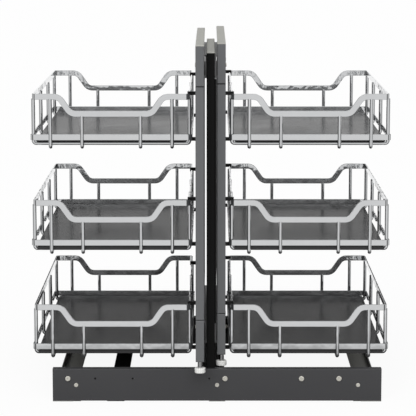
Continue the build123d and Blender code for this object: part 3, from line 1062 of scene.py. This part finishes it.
@dataclass
class PostSeamShades:
    """Black strips of painted shade in the seams where the front posts meet the beams."""

    height: float = 0.0014
    depth: float = 0.0012
    proud: float = 0.0002
    edge: float = 0.0001

    def place_all(self, finish: bpy.types.Material) -> None:
        """Set a strip of painted seam shade at both ends of each front post.

        Args:
            finish: the strips' black finish.
        """
        for side in Side:
            low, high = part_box(f"{side.value}_front_post")
            front = low.y - self.proud
            seam_shades = []
            for bottom in (low.z, high.z - self.height):
                near = Vector((low.x, front, bottom))
                far = Vector((high.x, front + self.depth, bottom + self.height))
                seam_shades.append(Workshop.block(near, far, self.edge))
            # The black strips paint the shade of the seams at both ends of the post.
            piece = Workshop.join(seam_shades, f"{side.value}_post_seals")
            piece.data.materials.append(finish)
            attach(piece, f"{side.value}_frame")
            log.info("seals %s", piece.name)


class Dresser:
    """Gives each carried-over node the finish of its slot."""

    def __init__(self) -> None:
        """Build every finish once."""
        self.materials = {finish.slot.value: finish.build() for finish in FINISHES}

    def dress(self) -> None:
        """Assign the finishes by the record's table of nodes."""
        for entry in frame["record"]["subparts"]:
            node = frame["nodes"][entry["node"]]
            material = self.materials[entry["material_slot"]]
            for slot in node.material_slots:
                slot.material = material
            log.info("node %s in %s", entry["node"], material.name)


@dataclass
class Studio:
    """A pale floor, soft overhead light and the photograph's camera."""

    camera_place: tuple[float, float, float] = (-0.0125, -4.014, 0.9608)
    camera_pitch: float = 8.718
    level_turn: float = 90.0
    focal_pixels: float = 1965.6
    frame_pixels: float = 416.0
    middle_pixel: float = 210.7
    sensor: float = 36.0
    floor_size: float = 60.0
    bounce_tone: float = 0.3
    paper_tone: float = 0.9
    floor_white: float = 0.92
    # Painted shadow: how dark the floor looks to bright metal near the object, standing in for the object's
    # shadow there.
    shade_span: Span = (0.35, 0.95)
    shade_ends: Span = (0.1, 1.0)
    sun_strength: float = 2.3
    sun_spread: float = 60.0
    sun_tilt: float = 50.0
    sun_lean: float = -8.0
    sky_strength: float = 0.5

    def camera(self) -> None:
        """Set up a long lens that looks a little down."""
        data = bpy.data.cameras.new("camera")
        data.sensor_width = self.sensor
        data.lens = self.sensor * self.focal_pixels / self.frame_pixels
        data.shift_x = (self.frame_pixels / 2 - self.middle_pixel) / self.frame_pixels
        data.clip_end = 2 * self.floor_size
        camera = bpy.data.objects.new("camera", data)
        camera.location = self.camera_place
        camera.rotation_euler = (math.radians(self.level_turn - self.camera_pitch), 0, 0)
        bpy.context.scene.collection.objects.link(camera)
        bpy.context.scene.camera = camera

    @staticmethod
    def _mirrored(bench: Bench, way: bpy.types.NodeSocket) -> bpy.types.NodeSocket:
        """Work out how bright a backdrop is to bright metal.

        Args:
            bench: the backdrop's bench.
            way: the direction from the object.

        Returns:
            The strength.
        """
        ring = bench.node("ShaderNodeGroup")
        ring.node_tree = Effects.studio_ring()
        bench.link(way, ring.inputs["Way"])
        return ring.outputs["Strength"]

    def floor(self) -> None:
        """Lay the pale floor, white to the lens, with the object's shadow kept."""
        Workshop.clear()
        bpy.ops.mesh.primitive_plane_add(size=self.floor_size)
        floor = bpy.context.object
        floor.name = "studio_floor"
        material = bpy.data.materials.new("studio_floor")
        material.use_nodes = True
        bench = Bench(material.node_tree)
        path = bench.node("ShaderNodeLightPath")
        place = bench.node("ShaderNodeTexCoord").outputs["Object"]
        reach = bench.node("ShaderNodeVectorMath")
        reach.operation = "LENGTH"
        bench.link(place, reach.inputs[0])
        # Painted shadow: to reflected rays the floor is darker near the object, standing in for its shadow.
        shade = bench.ease(reach.outputs["Value"], self.shade_span, self.shade_ends)
        mirrored = bench.combine("MULTIPLY", self._mirrored(bench, place), shade)
        strength = bench.choose(path.outputs["Is Camera Ray"], mirrored, FULL)
        paper = bench.node("ShaderNodeBsdfDiffuse")
        tone = bench.choose(path.outputs["Is Camera Ray"], self.bounce_tone, self.paper_tone)
        bench.link(tone, paper.inputs["Color"])
        white = bench.node("ShaderNodeEmission", Color=WHITE)
        bench.link(strength, white.inputs["Strength"])
        seen = bench.combine("MAXIMUM", path.outputs["Is Camera Ray"], path.outputs["Is Glossy Ray"])
        mix = bench.node("ShaderNodeMixShader")
        bench.link(bench.combine("MULTIPLY", seen, self.floor_white), mix.inputs[0])
        bench.link(paper.outputs[0], mix.inputs[1])
        bench.link(white.outputs[0], mix.inputs[2])
        output = bench.node("ShaderNodeOutputMaterial")
        bench.link(mix.outputs[0], output.inputs["Surface"])
        floor.data.materials.append(material)

    def world(self) -> None:
        """Surround the object with white paper for the lens and a soft sky for light."""
        world = bpy.data.worlds.new("studio")
        bpy.context.scene.world = world
        world.use_nodes = True
        bench = Bench(world.node_tree)
        path = bench.node("ShaderNodeLightPath")
        mirrored = self._mirrored(bench, bench.node("ShaderNodeTexCoord").outputs["Generated"])
        light = bench.choose(path.outputs["Is Glossy Ray"], self.sky_strength, mirrored)
        sky = bench.node("ShaderNodeBackground", Color=WHITE)
        bench.link(bench.choose(path.outputs["Is Camera Ray"], light, FULL), sky.inputs["Strength"])
        output = bench.node("ShaderNodeOutputWorld")
        bench.link(sky.outputs[0], output.inputs["Surface"])

    def lamp(self) -> None:
        """Hang one very soft light overhead, a little in front."""
        data = bpy.data.lights.new("overhead", "SUN")
        data.energy = self.sun_strength
        data.angle = math.radians(self.sun_spread)
        lamp = bpy.data.objects.new("overhead", data)
        lamp.rotation_euler = (math.radians(self.sun_tilt), math.radians(self.sun_lean), 0)
        lamp.visible_glossy = False
        bpy.context.scene.collection.objects.link(lamp)

    def build(self) -> None:
        """Set up the whole studio."""
        bpy.context.scene.view_settings.view_transform = "Standard"
        self.camera()
        self.floor()
        self.world()
        self.lamp()


def main() -> None:
    """Build the organizer's looks around its frame."""
    logging.basicConfig(level=logging.INFO)
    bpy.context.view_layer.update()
    dresser = Dresser()
    dresser.dress()
    WireBasket().place_all(dresser.materials[Slot.CHROME.value])
    HoleShadeDiscs().place_all(dresser.materials[Slot.HOOK.value])
    SlideBumpers().place_all(dresser.materials[Slot.HOOK.value])
    PostSeamShades().place_all(dresser.materials[Slot.HOOK.value])
    TrayLips().place_all(dresser.materials[Slot.TRAY.value])
    Studio().build()


if __name__ == "__main__":
    main()
